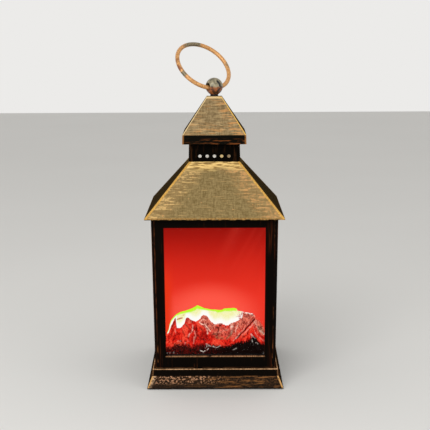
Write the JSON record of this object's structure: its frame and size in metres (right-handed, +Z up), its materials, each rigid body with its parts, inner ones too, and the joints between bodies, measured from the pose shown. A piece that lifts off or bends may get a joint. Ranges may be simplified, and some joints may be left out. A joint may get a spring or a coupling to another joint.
{
  "type": "flame effect lantern",
  "caption": "Square lantern with a glazed front window, a glowing ember bed, a lit flame screen with a turning reflector behind it, a sloping roof, a vented neck, a cap and a ring handle.",
  "frame": {"origin": "middle of the ground under the four feet", "axes": "+Z up; -Y is the front, where the window faces; +X is right as seen from the front"},
  "size_m": [0.115, 0.115, 0.2879],
  "materials": {
    "black_bronze": "black moulded plastic dry-brushed with bronze",
    "brushed_bronze": "black moulded plastic heavily brushed with bronze",
    "gloss_bronze": "bronze painted, polished",
    "black_plastic": "plain moulded",
    "feet_rubber": "matt",
    "clear_pane": "clear and polished",
    "ember_resin": "translucent red with black soot paint",
    "frosted_screen": "frosted and translucent",
    "white_liner": "white and translucent",
    "circuit_board": "green solder resist",
    "board_black": "moulded epoxy",
    "amber_lamp": "tinted and polished",
    "reflector_foil": "bright foil",
    "motor_can": "satin",
    "cell_jacket": "plain jacket",
    "nickel": "nickel plated",
    "steel": "zinc plated",
    "bush_brass": "plain"
  },
  "bodies": {
    "lantern": {"base_plinth": "black_bronze", "body_shell": "black_bronze", "vent_neck": "black_bronze", "back_cover": "black_bronze", "roof_shell": "brushed_bronze", "cap_shell": "brushed_bronze", "bottom_plate": "black_plastic", "battery_box": "black_plastic", "switch_case": "black_plastic", "pane_retainer": "black_plastic", "chassis_deck": "black_plastic", "motor_bracket": "black_plastic", "bearing_bracket": "black_plastic", "rubber_feet": "feet_rubber", "window_pane": "clear_pane", "ember_bed": "ember_resin", "flame_screen": "frosted_screen", "vent_liner": "white_liner", "lamp_board": "circuit_board", "crown_board": "circuit_board", "board_parts": "board_black", "ember_lamps": "amber_lamp", "flame_lamps": "amber_lamp", "crown_lamp": "amber_lamp", "motor": "motor_can", "battery_cells": "cell_jacket", "contact_plates": "nickel", "battery_springs": "nickel", "base_screws": "steel", "body_screws": "steel", "retainer_screws": "steel", "back_cover_screws": "steel", "chassis_screws": "steel", "board_screws": "steel", "bracket_screws": "steel", "motor_screws": "steel", "roof_screws": "steel", "neck_screws": "steel", "cap_screws": "steel", "rotor_bush": "bush_brass"},
    "battery_door": {"battery_door": "black_plastic"},
    "switch_knob": {"switch_knob": "black_plastic"},
    "rotor": {"flame_rotor": "reflector_foil", "rotor_shaft": "steel"},
    "finial": {"finial_ball": "gloss_bronze", "finial_stud": "gloss_bronze", "stud_washer": "steel", "stud_nut": "steel"},
    "ring": {"ring_handle": "gloss_bronze"}
  },
  "joints": [
    {"name": "door_hinge", "type": "hinge", "parent": "lantern", "child": "battery_door", "pos_m": [0, 0.0235, 0.0017], "axis": [1, 0, 0], "range_deg": [0, 70]},
    {"name": "switch_slide", "type": "slide", "parent": "lantern", "child": "switch_knob", "axis": [0, 1, 0], "range_m": [0, 0.004]},
    {"name": "rotor_spin", "type": "hinge", "parent": "lantern", "child": "rotor", "pos_m": [0, 0.026, 0.047], "axis": [1, 0, 0], "continuous": true},
    {"name": "finial_swivel", "type": "hinge", "parent": "lantern", "child": "finial", "pos_m": [0, 0, 0.2425], "axis": [0, 0, 1], "continuous": true},
    {"name": "ring_hinge", "type": "hinge", "parent": "finial", "child": "ring", "pos_m": [0, 0, 0.2508], "axis": [0.8161, 0.5779, 0], "range_deg": [-89, 171]}
  ]
}
